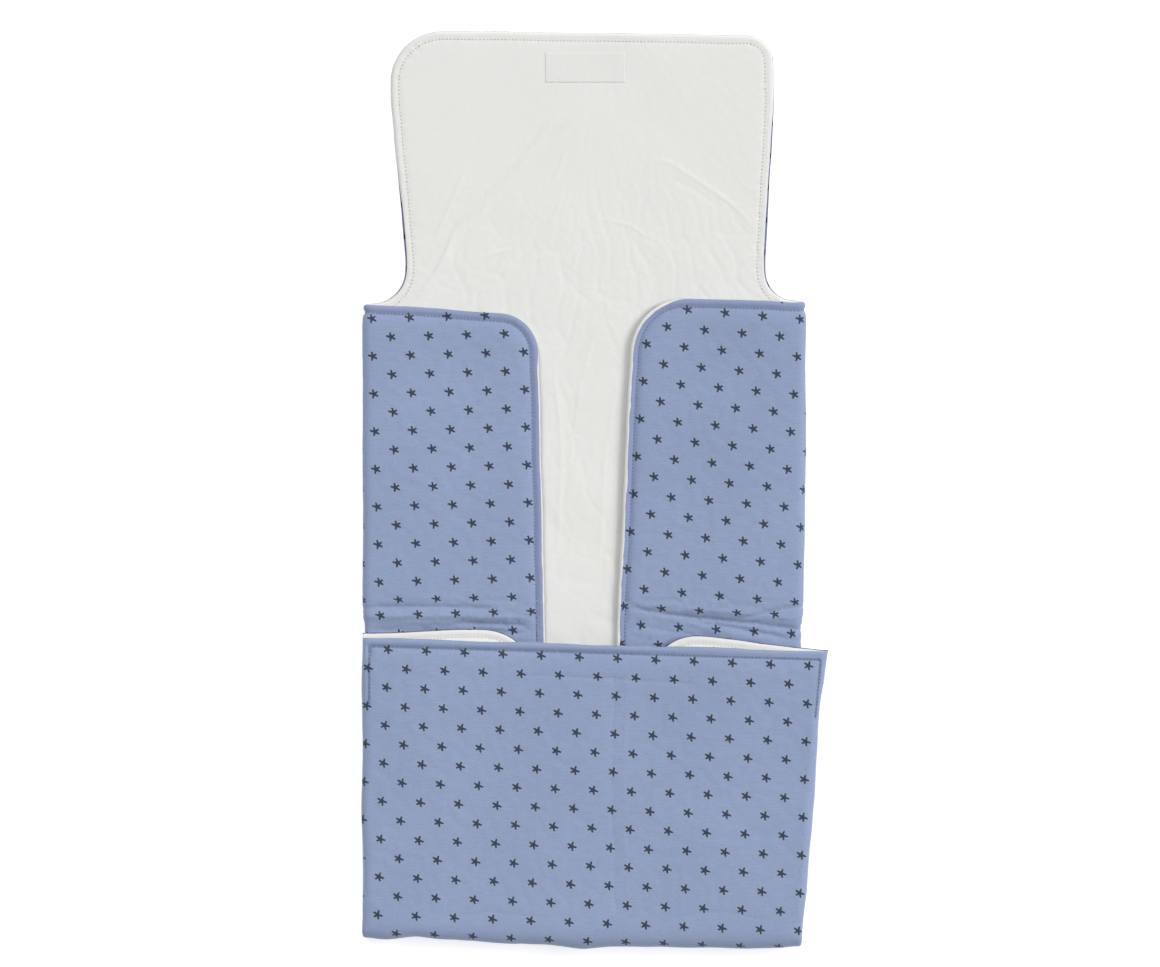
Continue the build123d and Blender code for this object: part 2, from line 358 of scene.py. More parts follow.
class Panel:
    """One quilted panel, drawn flat.

    sides go round its outline anticlockwise as (kind, points). A "hem" is a finished edge, a
    "cut" is where the cloth runs on into another piece, and at a "roll" the face curves over
    into a folded edge. face_up is the relief of the face towards +h, and face_down the other.
    """

    def __init__(self, name, sides, place, face_up, face_down, rows=None, thick=PANEL, roll_to=-1,
                 waves=0.5 * MM, groove=lambda points: 0.55, hem_share=0.74, creases=(), fine=None,
                 loose=None, held=lambda points: 0, taken_up=lambda points: 0, seed=1):
        self.name, self.place, self.half, self.roll_to = name, place, thick / 2, roll_to
        self.face_up, self.face_down = face_up, face_down
        self.groove, self.hem_share, self.creases, self.fine = groove, hem_share, creases, fine
        self.loose, self.held, self.taken_up = loose, held, taken_up
        self.sides = []
        for i, (kind, line) in enumerate(sides):
            line = evenly(np.array(line, float), EDGE_STEP)
            if kind != "cut":
                line = soften(line, waves, seed + i)
            self.sides.append((kind, line))
        self.hems = [line for kind, line in self.sides if kind == "hem"]
        self.rolls = [line for kind, line in self.sides if kind == "roll"]
        self.loop = np.concatenate([line[:-1] for _, line in self.sides])
        self.rows = rows or [self.inset(line, STITCH_MARGIN) for line in self.hems]

    def inset(self, line, distance):
        """The line moved inward, without the points that come too near another edge."""
        moved = line + inward(line) * distance
        away, _ = nearest(moved, self.hems)
        keep = inside(moved, self.loop) & (away > 0.97 * distance)
        return moved[keep]

    def section(self, points):
        """Heights of the two faces from the panel's middle, and the seam measures there."""
        hem, hem_at = nearest(points, self.hems)
        row, row_at = nearest(points, self.rows)
        roll = np.ones(len(points))
        if self.rolls:
            roll = rounded(nearest(points, self.rolls)[0], ROLL_R)
        pinch = rounded(hem, EDGE_R)
        groove = np.exp(-((row / GROOVE_WIDTH) ** 2)) * smooth(hem / EDGE_R)
        full = self.hem_share + (1 - self.hem_share) * smooth((hem - 4 * MM) / HEM_RISE)
        share = pinch * full * (1 - self.groove(points) * groove)
        middle = self.roll_to * self.half * (1 - roll) - EDGE_DROOP * self.half * roll * (1 - share)
        seam = np.stack([row_at, row], 1)
        tug = perlin(seam, (4.2 * MM, 13 * MM), 3) * np.exp(-((row / (5 * MM)) ** 2))
        tug *= PUCKER * pinch
        relief = self.face_up(points) + creased(points, self.creases)
        up = middle + self.half * roll * share + relief * roll * share + tug * pinch
        down = middle - self.half * roll * share + self.face_down(points) * roll * share - tug * pinch
        return up, down, {"hem": hem, "hem_at": hem_at, "row": row, "row_at": row_at}

    def surface(self, points, upper):
        """Places on one face, and the face's outward directions there."""
        up, down, _ = self.section(points)
        h, sign = (up, 1) if upper else (down, -1)
        at = self.place(points, h)
        out = (self.place(points, h + 0.1 * MM) - at) * sign
        return at, out / np.linalg.norm(out, axis=1)[:, None]

    def flat_points(self):
        """Points over the panel: its outline first, then rings along edges and rows, then a lattice."""
        kept = [self.loop]
        for line in self.hems + self.rolls:
            for distance in EDGE_RINGS:
                moved = line + inward(line) * distance
                away, _ = nearest(moved, self.hems + self.rolls)
                kept.append(moved[inside(moved, self.loop) & (away > 0.97 * distance)])
        for line in self.rows:
            for distance in (0, *ROW_RINGS, *(-r for r in ROW_RINGS)):
                moved = line + inward(line) * distance
                away, _ = nearest(moved, self.hems + self.rolls)
                ok = inside(moved, self.loop) & (away > ROW_CLEAR)
                kept.append(moved[ok & (nearest(moved, self.rows)[0] > 0.97 * abs(distance))])
        for line, _, _ in self.creases:
            line = drawn(line)
            for distance in CREASE_RINGS:
                moved = line + inward(line) * distance
                away, _ = nearest(moved, self.hems + self.rolls + self.rows)
                kept.append(moved[inside(moved, self.loop) & (away > CREASE_CLEAR)])
        closed = [np.vstack([self.loop, self.loop[:1]])]
        if self.fine:
            small = staggered(self.loop, FINE_STEP)
            small = small[self.fine(small)]
            kept.append(small[nearest(small, closed)[0] > FINE_CLEAR])
        lattice = staggered(self.loop, LATTICE_STEP)
        lattice = lattice[nearest(lattice, closed)[0] > LATTICE_CLEAR]
        kept.append(lattice)
        return thinned(kept)

    def build(self, material_up, material_down):
        """The panel as one closed mesh, its cloth coordinates, and its seam measures."""
        points, border = self.flat_points(), len(self.loop)
        edges = [(i, (i + 1) % border) for i in range(border)]
        made = delaunay_2d_cdt([tuple(p) for p in points], edges, [], 1, 1e-7, False)
        points = np.array([tuple(v) for v in made[0]])
        middles = points[np.array(made[2])].mean(1)
        faces = [tuple(f) for f, kept in zip(made[2], inside(middles, self.loop)) if kept]
        up, down, seams = self.section(points)
        cut = self.on_cut(points)
        shared = (seams["hem"] < 1e-6) | (~cut & self.on_rolls(points))
        under = np.arange(len(points)) + len(points)
        under[shared] = np.arange(len(points))[shared]
        top = self.place(points, up)
        bottom = self.place(points, down)
        free = self.free(points)
        if self.loose:
            top = settled(top, faces, free, self.loose(points))
        where = np.vstack([top, bottom])
        wall = [(a, b) for a, b in boundary(faces) if not (shared[a] and shared[b])]
        all_faces = list(faces)
        all_faces += [tuple(int(under[i]) for i in reversed(f)) for f in faces]
        for a, b in wall:
            quad = [b, a, int(under[a]), int(under[b])]
            all_faces.append(tuple(dict.fromkeys(quad)))
        used = sorted({i for f in all_faces for i in f})
        number = {old: new for new, old in enumerate(used)}
        mesh = bpy.data.meshes.new(self.name)
        mesh.from_pydata(where[used].tolist(), [], [tuple(number[i] for i in f) for f in all_faces])
        mesh.materials.append(material_up)
        mesh.materials.append(material_down)
        index = np.zeros(len(all_faces), np.int32)
        index[len(faces):] = 1
        mesh.polygons.foreach_set("material_index", index)
        mesh.shade_smooth()
        sharp = set()
        for a, b in wall:
            sharp.add(frozenset((number[a], number[b])))
            sharp.add(frozenset((number[int(under[a])], number[int(under[b])])))
        for edge in mesh.edges:
            if frozenset(edge.vertices) in sharp:
                edge.use_edge_sharp = True
        twice = np.array(used) % len(points)
        for key, values in seams.items():
            layer = mesh.attributes.new(key, "FLOAT", "POINT")
            layer.data.foreach_set("value", values[twice].astype(np.float32))
        corners = np.zeros(len(mesh.loops), np.int32)
        mesh.loops.foreach_get("vertex_index", corners)
        uv = mesh.uv_layers.new(name="cloth")
        cloth = self.place.printed(points) - self.taken_up(points)
        uv.data.foreach_set("uv", cloth[twice][corners].astype(np.float32).ravel())
        mesh.validate()
        return linked(self.name, mesh)

    def free(self, points):
        """0 where seams, folded edges and neighbours hold the cloth, and 1 away from them."""
        lines = self.rows + self.rolls + [line for kind, line in self.sides if kind != "roll"]
        away = nearest(points, lines)[0]
        return smooth((away - 1.5 * MM) / (9 * MM)) * (1 - self.held(points))

    def on_cut(self, points):
        cuts = [line for kind, line in self.sides if kind == "cut"]
        return nearest(points, cuts)[0] < 1e-6 if cuts else np.zeros(len(points), bool)

    def on_rolls(self, points):
        return nearest(points, self.rolls)[0] < 1e-6 if self.rolls else np.zeros(len(points), bool)


def settled(where, faces, free, share):
    """Where a face's cloth settles on its wadding, by cloth simulation.

    The cloth is cut slightly larger than its place, so it wrinkles. The wadding holds it
    softly where it is free, and the seams hold it firmly. share is how much of the
    movement each point keeps.
    """
    scene = bpy.context.scene
    mesh = bpy.data.meshes.new("cloth_at_rest")
    mesh.from_pydata(where.tolist(), [], faces)
    cloth = linked("cloth_at_rest", mesh)
    held = cloth.vertex_groups.new(name="held")
    weights = np.where(free > 0.02, HOLD + (1 - HOLD) * (1 - free) ** 2, 1.0)
    for i, weight in enumerate(weights):
        held.add([i], float(weight), "REPLACE")
    modifier = cloth.modifiers.new("cloth", "CLOTH")
    settings = modifier.settings
    settings.quality = 4
    settings.mass = 0.02
    settings.air_damping = 4
    settings.tension_stiffness = settings.compression_stiffness = 12
    settings.shear_stiffness = 4
    settings.bending_stiffness = 0.5
    settings.shrink_min = settings.shrink_max = -EXCESS_CLOTH
    settings.vertex_group_mass = "held"
    settings.pin_stiffness = 1
    settings.effector_weights.gravity = 0
    modifier.collision_settings.use_collision = False
    modifier.point_cache.frame_start, modifier.point_cache.frame_end = 1, CLOTH_FRAMES
    for number in range(1, CLOTH_FRAMES + 1):
        scene.frame_set(number)
    ended = cloth.evaluated_get(bpy.context.evaluated_depsgraph_get()).data
    co = np.zeros(len(where) * 3, np.float32)
    ended.vertices.foreach_get("co", co)
    scene.frame_set(1)
    bpy.data.objects.remove(cloth)
    bpy.data.meshes.remove(mesh)
    moved = co.reshape(-1, 3) - where
    far = np.linalg.norm(moved, axis=1)
    limit = CLOTH_REACH * np.tanh(far / CLOTH_REACH) / np.maximum(far, 1e-9)
    return where + moved * (limit * smooth(free * 4) * share)[:, None]


def staggered(loop, step):
    """A lattice of points inside a closed outline, each row shifted by half a step."""
    low, high = loop.min(0), loop.max(0)
    xs = np.arange(low[0], high[0], step)
    ys = np.arange(low[1], high[1], step * math.sqrt(3) / 2)
    x, y = np.meshgrid(xs, ys)
    x = x + (np.arange(len(ys)) % 2)[:, None] * step / 2
    points = np.column_stack([x.ravel(), y.ravel()])
    return points[inside(points, loop)]


def rounded(distance, radius):
    """A quarter circle's height, from 0 at the edge to 1 at that radius."""
    return np.sqrt(np.clip(1 - (1 - np.clip(distance / radius, 0, 1)) ** 2, 0, 1))


def boundary(faces):
    """The directed edges that only one face has."""
    found = {(a, b) for f in faces for a, b in zip(f, f[1:] + f[:1])}
    return [(a, b) for a, b in sorted(found) if (b, a) not in found]


def thinned(groups):
    """All the groups' points, each left out where an earlier group already has one near."""
    kept = groups[0]
    for number, extra in enumerate(groups[1:], 2):
        if not len(extra):
            continue
        tree = kdtree.KDTree(len(kept))
        for i, p in enumerate(kept):
            tree.insert((p[0], p[1], 0), i)
        tree.balance()
        room = 0.62 * LATTICE_STEP if number == len(groups) else 0.75 * MM
        away = np.array([tree.find((p[0], p[1], 0))[2] for p in extra])
        kept = np.vstack([kept, extra[away > room]])
    return kept


def stitches(name, panel, upper, material):
    """A panel's rows of stitches on one of its faces: short arched lengths of thread."""
    sides = 6
    stations = np.array([-1.0, -0.72, -0.3, 0.3, 0.72, 1.0])
    lift = np.array([-0.32, 0.02, 0.2, 0.2, 0.02, -0.32]) * MM
    taper = np.array([0.6, 0.95, 1.0, 1.0, 0.95, 0.6])
    turn = np.arange(sides) * 2 * math.pi / sides
    where, faces = [], []
    for row in panel.rows:
        fine = evenly(row, STITCH_PITCH / 2)
        middles, runs = fine[1:-1:2], (fine[2::2] - fine[:-2:2])
        count = min(len(middles), len(runs))
        middles, runs = middles[:count], runs[:count]
        runs = runs / np.linalg.norm(runs, axis=1)[:, None]
        at_all, out_all = [], []
        for s in stations:
            at, out = panel.surface(middles + runs * s * STITCH_LENGTH / 2, upper)
            at_all.append(at)
            out_all.append(out)
        at_all, out_all = np.array(at_all), np.array(out_all)
        for k in range(count):
            run = at_all[-1, k] - at_all[0, k]
            run /= np.linalg.norm(run)
            start = len(where)
            for s in range(len(stations)):
                out = out_all[s, k]
                aside = np.cross(run, out)
                centre = at_all[s, k] + out * lift[s]
                ring = centre + THREAD_R * taper[s] * (
                    np.outer(np.cos(turn), aside) * 1.15 + np.outer(np.sin(turn), out)
                )
                where.extend(ring.tolist())
            for s in range(len(stations) - 1):
                for i in range(sides):
                    j = (i + 1) % sides
                    a, b = start + s * sides, start + (s + 1) * sides
                    faces.append((a + i, b + i, b + j, a + j))
            faces.append(tuple(start + i for i in range(sides)))
            last = start + (len(stations) - 1) * sides
            faces.append(tuple(last + i for i in reversed(range(sides))))
    mesh = bpy.data.meshes.new(name)
    mesh.from_pydata(where, [], faces)
    mesh.materials.append(material)
    mesh.shade_smooth()
    return linked(name, mesh)


# ---------------------------------------------------------------- materials

class Nodes:
    """Short calls for building a material's nodes."""

    def __init__(self, name):
        self.material = bpy.data.materials.new(name)
        self.material.use_nodes = True
        self.tree = self.material.node_tree
        self.shader = self.tree.nodes["Principled BSDF"]

    def add(self, kind, inputs=None, **settings):
        node = self.tree.nodes.new(kind)
        for key, value in settings.items():
            setattr(node, key, value)
        for key, value in (inputs or {}).items():
            self.set(node.inputs[key], value)
        return node

    def set(self, socket, value):
        if isinstance(value, bpy.types.NodeSocket):
            self.tree.links.new(value, socket)
        else:
            socket.default_value = value

    def math(self, operation, a, b=0.0, c=0.0):
        return self.add("ShaderNodeMath", {0: a, 1: b, 2: c}, operation=operation).outputs[0]

    def mix(self, factor, a, b):
        node = self.add("ShaderNodeMix", data_type="RGBA")
        self.set(node.inputs["Factor"], factor)
        self.set(node.inputs[6], a)
        self.set(node.inputs[7], b)
        return node.outputs[2]

    def ramp(self, value, low, high, out_low=0.0, out_high=1.0):
        node = self.add("ShaderNodeMapRange", {0: value, 1: low, 2: high, 3: out_low, 4: out_high})
        node.interpolation_type = "SMOOTHSTEP"
        return node.outputs[0]

    def noise(self, vector, scale, detail=3.0, roughness=0.55):
        return self.add(
            "ShaderNodeTexNoise",
            {"Vector": vector, "Scale": scale, "Detail": detail, "Roughness": roughness},
        ).outputs["Fac"]

    def attribute(self, name):
        return self.add("ShaderNodeAttribute", attribute_name=name).outputs["Fac"]

    def cloth(self):
        """Flat cloth coordinates, in metres, as a vector and as two numbers."""
        uv = self.add("ShaderNodeUVMap", uv_map="cloth").outputs["UV"]
        parts = self.add("ShaderNodeSeparateXYZ", {0: uv})
        return uv, parts.outputs[0], parts.outputs[1]


def weave(n, x, y, pitch):
    """Height of a plain weave: threads over and under each other, from 0 to 1."""
    across = n.math("SINE", n.math("MULTIPLY", x, 2 * math.pi / pitch))
    along = n.math("SINE", n.math("MULTIPLY", y, 2 * math.pi / pitch))
    return n.math("MULTIPLY_ADD", n.math("MULTIPLY", across, along), 0.5, 0.5)


def stitch_dip_shade(n):
    """Painted shade in the small dips between the stitches: 1 there, fading to 0 around them."""
    along = n.math("DIVIDE", n.attribute("row_at"), STITCH_PITCH)
    gap = n.math("ABSOLUTE", n.math("SUBTRACT", n.math("FRACT", along), 0.5))
    off = n.math("DIVIDE", n.attribute("row"), STITCH_PITCH)
    far = n.math("SQRT", n.math("ADD", n.math("MULTIPLY", gap, gap), n.math("MULTIPLY", off, off)))
    return n.ramp(far, 0.1, 0.34, 1.0, 0.0)


def star_mask(n, x, y, centre, turn, pitch, aim):
    """1 inside the printed stars: a square lattice with one more star in each square's middle.

    centre is one star's place, turn is the print's angle, pitch is (along, across), and aim is
    where the stars' longest arm points, in degrees from the lattice.
    """
    c, s = math.cos(turn), math.sin(turn)
    dx, dy = n.math("SUBTRACT", x, centre[0]), n.math("SUBTRACT", y, centre[1])
    u = n.math("ADD", n.math("MULTIPLY", dx, c), n.math("MULTIPLY", dy, s))
    v = n.math("SUBTRACT", n.math("MULTIPLY", dy, c), n.math("MULTIPLY", dx, s))
    mask = 0.0
    for shift in (0.5, 0.0):
        cells = []
        for value, size in ((u, pitch[0]), (v, pitch[1])):
            share = n.math("FRACT", n.math("MULTIPLY_ADD", value, 1 / size, shift))
            cells.append(n.math("MULTIPLY", n.math("SUBTRACT", share, 0.5), size))
        px, py = cells
        for degrees, length in STAR_ARMS:
            c, s = math.cos(math.radians(degrees + aim)), math.sin(math.radians(degrees + aim))
            along = n.math("MULTIPLY_ADD", px, c, n.math("MULTIPLY", py, s))
            aside = n.math("ABSOLUTE", n.math("MULTIPLY_ADD", py, c, n.math("MULTIPLY", px, -s)))
            half = n.ramp(along, 0.0, length, STAR_ARM_BASE / 2, STAR_ARM_TIP / 2)
            arm = n.ramp(n.math("SUBTRACT", aside, half), -0.12 * MM, 0.12 * MM, 1.0, 0.0)
            tip = n.ramp(along, length - 0.25 * MM, length + 0.1 * MM, 1.0, 0.0)
            root = n.ramp(along, -0.2 * MM, 0.1 * MM)
            mask = n.math("MAXIMUM", mask, n.math("MULTIPLY", arm, n.math("MULTIPLY", tip, root)))
    return mask


def shade(colour, factor):
    return (*(channel * factor for channel in colour[:3]), 1)


def star_cotton(name, centre, turn, pitch=(34.0 * MM, 33.9 * MM), aim=165, hem_shade=0.45,
                groove_shade_width=1.2 * MM):
    """Blue cotton printed with small dark stars, with painted shade at its hem band, stitch grooves and
    stitch dips. The white lining shows at the hem by "rim".
    """
    n = Nodes(name)
    uv, x, y = n.cloth()
    wander = n.math("MULTIPLY_ADD", n.noise(uv, 700, 3), 0.9 * MM, -0.45 * MM)
    stars = star_mask(n, n.math("ADD", x, wander), n.math("SUBTRACT", y, wander), centre, turn, pitch, aim)
    threads = weave(n, x, y, 0.9 * MM)
    slubs = n.noise(n.add("ShaderNodeMapping", {0: uv, 3: (1, 7, 1)}).outputs[0], 100, 5, 0.75)
    melange = n.noise(n.add("ShaderNodeMapping", {0: uv, 3: (1, 2.5, 1)}).outputs[0], 420, 4, 0.7)
    blue = n.mix(n.ramp(n.noise(uv, 9, 3), 0.3, 0.7), shade(BLUE, 0.96), shade(BLUE, 1.05))
    blue = n.mix(n.ramp(slubs, 0.3, 0.75, 0.0, 0.7), blue, shade(BLUE, 0.80))
    blue = n.mix(n.ramp(melange, 0.35, 0.8, 0.0, 0.5), blue, shade(BLUE, 1.25))
    blue = n.mix(n.math("MULTIPLY", threads, 0.16), blue, shade(BLUE, 1.2))
    # Painted shade: the band between the topstitching and the edge is darkened, as a rolled hem in shade
    hem = n.ramp(n.attribute("hem"), STITCH_MARGIN - 2.5 * MM, STITCH_MARGIN + 1 * MM, hem_shade, 0.0)
    blue = n.mix(hem, blue, BLUE_EDGE_SHADE)
    # Painted shade in the stitch groove: a dark band along the row, uneven along its length, over the sunk
    # thread's dark blue
    uneven = n.ramp(n.noise(n.attribute("row_at"), 160, 2), 0.25, 0.7, 0.5, 0.9)
    groove = n.ramp(n.attribute("row"), 0.0, groove_shade_width, 1.0, 0.0)
    blue = n.mix(n.math("MULTIPLY", groove, uneven), blue, BLUE_GROOVE_SHADE)
    ink = n.ramp(n.noise(uv, 1500, 2), 0.2, 0.75, 0.78, 1.0)
    colour = n.mix(n.math("MULTIPLY", stars, ink), blue, STAR_DARK)
    # Painted shade: the dips between the stitches are darkened
    colour = n.mix(n.math("MULTIPLY", stitch_dip_shade(n), 0.6), colour, (0.06, 0.075, 0.14, 1))
    width = n.math("MULTIPLY_ADD", n.noise(n.attribute("hem_at"), 28, 2), 1.2, 0.4)
    edge = n.math("SUBTRACT", n.attribute("hem"), n.math("MULTIPLY", n.attribute("rim"), width))
    colour = n.mix(n.ramp(edge, -0.12 * MM, 0.12 * MM, 1.0, 0.0), colour, WHITE)
    finish_cloth(n, colour, threads, melange, 0.16)
    return n.material


def white_cotton(name, rim_cotton_and_shade=BLUE_EDGE_SHADE, dip_shade=0.75):
    """The white lining. The outer cotton, with bits of its stars, shows at the hem by "rim", darker than
    its own blue: its colour with painted shade.
    """
    n = Nodes(name)
    uv, x, y = n.cloth()
    threads = weave(n, x, y, 0.7 * MM)
    broad, fine = n.noise(uv, 12, 4), n.noise(uv, 340, 3, 0.7)
    colour = n.mix(n.ramp(broad, 0.25, 0.75, 0.0, 0.22), WHITE, (0.70, 0.705, 0.665, 1))
    colour = n.mix(n.ramp(fine, 0.35, 0.8, 0.0, 0.2), colour, WHITE_SHADE)
    colour = n.mix(n.math("MULTIPLY", threads, 0.12), colour, (0.80, 0.80, 0.78, 1))
    # Painted shade: the dips between the stitches are darkened grey
    colour = n.mix(n.math("MULTIPLY", stitch_dip_shade(n), dip_shade), colour, (0.30, 0.30, 0.31, 1))
    edge = n.math("SUBTRACT", n.attribute("hem"), n.attribute("rim"))
    print_at = n.math("FRACT", n.math("MULTIPLY", n.attribute("hem_at"), 1 / (29 * MM)))
    outer = n.mix(n.ramp(print_at, 0.16, 0.19, 1.0, 0.0), rim_cotton_and_shade, STAR_DARK)
    colour = n.mix(n.ramp(edge, -0.12 * MM, 0.12 * MM, 1.0, 0.0), colour, outer)
    finish_cloth(n, colour, threads, fine, 0.1)
    return n.material


def finish_cloth(n, colour, threads, fine, sheen):
    """Puts the colour on the shader, with the cloth's thread bump, roughness and sheen."""
    n.set(n.shader.inputs["Base Color"], colour)
    n.set(n.shader.inputs["Roughness"], n.ramp(fine, 0.0, 1.0, 0.82, 0.97))
    n.shader.inputs["Specular IOR Level"].default_value = 0.25
    n.shader.inputs["Sheen Weight"].default_value = sheen
    n.shader.inputs["Sheen Roughness"].default_value = 0.5
    height = n.math("MULTIPLY_ADD", fine, 0.9, threads)
    bump = n.add("ShaderNodeBump", {"Strength": 0.35, "Distance": 0.12 * MM, "Height": height})
    n.set(n.shader.inputs["Normal"], bump.outputs[0])


def thread(name, light, dark):
    """Twisted sewing thread."""
    n = Nodes(name)
    where = n.add("ShaderNodeTexCoord").outputs["Object"]
    fibres = n.noise(where, 3200, 2)
    n.set(n.shader.inputs["Base Color"], n.mix(fibres, dark, light))
    n.set(n.shader.inputs["Roughness"], n.ramp(fibres, 0.2, 0.8, 0.45, 0.7))
    bump = n.add("ShaderNodeBump", {"Strength": 0.3, "Distance": 0.05 * MM, "Height": fibres})
    n.set(n.shader.inputs["Normal"], bump.outputs[0])
    n.shader.inputs["Sheen Weight"].default_value = 0.2
    return n.material


def label_satin():
    """Woven white satin with fine ribs."""
    n = Nodes("label_satin")
    where = n.add("ShaderNodeTexCoord").outputs["Object"]
    parts = n.add("ShaderNodeSeparateXYZ", {0: where})
    ribs = n.math("SINE", n.math("MULTIPLY", parts.outputs[1], 2 * math.pi / (0.8 * MM)))
    fine = n.noise(where, 700, 3)
    colour = n.mix(n.ramp(fine, 0.2, 0.8, 0.0, 0.5), WHITE, WHITE_SHADE)
    n.set(n.shader.inputs["Base Color"], colour)
    n.set(n.shader.inputs["Roughness"], n.ramp(fine, 0.2, 0.8, 0.42, 0.6))
    bump = n.add("ShaderNodeBump", {"Strength": 0.2, "Distance": 0.04 * MM, "Height": ribs})
    n.set(n.shader.inputs["Normal"], bump.outputs[0])
    n.shader.inputs["Sheen Weight"].default_value = 0.1
    return n.material


# ---------------------------------------------------------------- relief of each face

def still(points):
    """A face that lies smooth, with only the wadding's soft unevenness."""
    return 0.32 * MM * perlin(points, 46 * MM, 5) + 0.10 * MM * perlin(points, 12 * MM, 6)


def under_face(points):
    """The underside, which rests on the floor and stays nearly flat."""
    return 0.12 * MM * perlin(points, 30 * MM, 9) + 0.3 * MM


def lining_face(points):
    """The back's thin lining: facets that fan out from the head's top, calm there, busier below."""
    away = points - np.array([12, 455]) * MM
    fan = np.stack([np.arctan2(away[:, 0], -away[:, 1]) * 0.34, np.linalg.norm(away, axis=1)], 1)
    fan += 6 * MM * np.stack([perlin(points, 34 * MM, 21), perlin(points, 34 * MM, 22)], 1)
    busy = 0.25 + 0.75 * smooth((300 * MM - points[:, 1]) / (110 * MM))
    relief = 0.40 * crumpled(fan, (24 * MM, 60 * MM), 11) + 0.22 * crumpled(fan, (11 * MM, 26 * MM), 12)
    return busy * relief * MM + 0.45 * MM * perlin(points, 60 * MM, 13)


LINING_CREASES = (
    (((-28, 343), (-46, 324), (-61, 303), (-94, 268), (-125, 237), (-137, 206), (-164, 166)), 1.5, 1.2),
    (((-22, 336), (-54, 300), (-87, 264), (-117, 233), (-130, 204)), 3.2, -0.9),
    (((-24, 312), (-31, 292), (-41, 272)), 1.4, 0.5),
    (((-26, 268), (-35, 250), (-47, 230)), 1.4, 0.55),
    (((-114, 296), (-130, 257), (-147, 220)), 1.4, 0.55),
    (((-90, 276), (-100, 254), (-106, 238)), 1.4, 0.4),
    (((46, 293), (64, 298), (92, 279), (125, 257), (146, 232)), 1.7, 0.4),
    (((60, 284), (88, 272), (120, 250)), 2.6, -0.2),
    (((-44, 204), (-60, 188), (-80, 166)), 1.4, 0.7),
    (((-8, 226), (-16, 212), (-20, 200), (-30, 190)), 1.4, 0.6),
    (((-106, 204), (-90, 214), (-66, 218)), 1.4, 0.45),
    (((-96, 192), (-70, 202)), 1.4, 0.4),
    (((4, 244), (30, 240), (56, 222)), 1.5, 0.35),
    (((2, 150), (-14, 90), (-24, 10)), 1.8, 0.35),
    (((-38, 120), (-30, 40), (-33, -60)), 1.8, 0.35),
    (((22, 110), (9, 30), (4, -80)), 1.8, 0.3),
)
LEFT_WING_CREASES = (
    (((-214, -106), (-150, -105), (-84, -107)), 2.2, -2.5),
    (((-214, -114), (-140, -113), (-52, -115)), 3.2, 1.7),
    (((-130, -120), (-90, -121), (-52, -123)), 1.8, -2.3),
    (((-214, -125), (-150, -127), (-52, -129)), 3.0, -1.6),
    (((-63, 132), (-56, 122), (-54, 112)), 2.4, 0.7),
)
RIGHT_WING_CREASES = (
    (((26, -105), (70, -113), (119, -118), (155, -122), (198, -128)), 1.8, -2.7),
    (((60, -104), (130, -111), (198, -119)), 3.0, 1.2),
    (((118, -118), (150, -112), (198, -101)), 1.8, -1.8),
    (((84, -118), (130, -125), (180, -135)), 2.0, -2.4),
    (((40, -124), (90, -130), (160, -142)), 3.2, -1.2),
)
FLAP_CREASES = (
    (((18, -156), (15, -260), (19, -392)), 6.5, -0.6),
    (((29, -156), (26, -260), (30, -392)), 5.0, 0.3),
    (((-66, -166), (16, -170), (98, -175)), 2.4, -0.5),
    (((203, -156), (190, -260), (182, -380)), 5.0, 0.4),
    (((-150, -388), (-96, -379), (-40, -385)), 3.0, -0.35),
    (((60, -386), (112, -378), (160, -388)), 3.0, -0.35),
)


def wing_face(points):
    """A wing's outer cotton, a little crumpled where it goes in under the flap."""
    low = smooth((-85 * MM - points[:, 1]) / (25 * MM))
    pressed = smooth((-103 * MM - points[:, 1]) / (22 * MM))
    relief = still(points) + 0.05 * MM * perlin(points, 6 * MM, 31) - 2.2 * MM * pressed
    return relief + 0.8 * MM * low * crumpled(points, (52 * MM, 9 * MM), 34)


def flap_face(points):
    edge = smooth((np.abs(points[:, 0]) - 150 * MM) / (50 * MM))
    relief = still(points) + 0.05 * MM * perlin(points, 7 * MM, 33)
    return relief + 0.35 * MM * edge * crumpled(points, (30 * MM, 18 * MM), 35)


# ---------------------------------------------------------------- the panels

def xy(vector):
    return np.array([vector[0], vector[1]])


def back_panel():
    """Head, neck and body in one length, lining up."""
    back, head = top_outline("back_outer"), top_outline("head_outer")
    low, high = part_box("back_outer")
    head_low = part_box("head_outer")[0].y
    necks = [p for p in head if abs(p[1] - head_low) < 0.1 * MM]
    neck_left, neck_right = min(necks, key=lambda p: p[0]), max(necks, key=lambda p: p[0])
    foot_right = back[back[:, 1].argmin()]
    foot_left = back[(back[:, 0] - low.x + (back[:, 1] > -0.3)).argmin()]
    shoulder_right = back[back[:, 0].argmax()]
    shoulder_left = between(back, (low.x, high.y - 39 * MM), foot_left)[0]
    hem = np.vstack([
        between(back, shoulder_right, neck_right),
        between(head, neck_right, neck_left)[1:-1],
        between(back, neck_left, shoulder_left),
    ])
    sides = [
        ("cut", [foot_left, foot_right]), ("cut", [foot_right, shoulder_right]),
        ("hem", hem), ("cut", [shoulder_left, foot_left]),
    ]

    def near_label(points):
        label_low, label_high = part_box("blank_label")
        outside = np.maximum(xy(label_low) - points, points - xy(label_high)).max(1)
        return smooth((14 * MM - outside) / (8 * MM))

    def loose(points):
        y = points[:, 1]
        return 0.08 + 0.15 * smooth((310 * MM - y) / (60 * MM)) * smooth((y - 100 * MM) / (80 * MM))

    def seen(points):
        x, y = points[:, 0], points[:, 1]
        return (y > 150 * MM) | ((np.abs(x) < 62 * MM) & (y > -165 * MM))

    return Panel("back_quilt", sides, Lying(PANEL / 2), lining_face, under_face, seed=2,
                 groove=lambda points: 0.09, hem_share=0.97, creases=LINING_CREASES, fine=seen,
                 loose=loose, held=near_label)


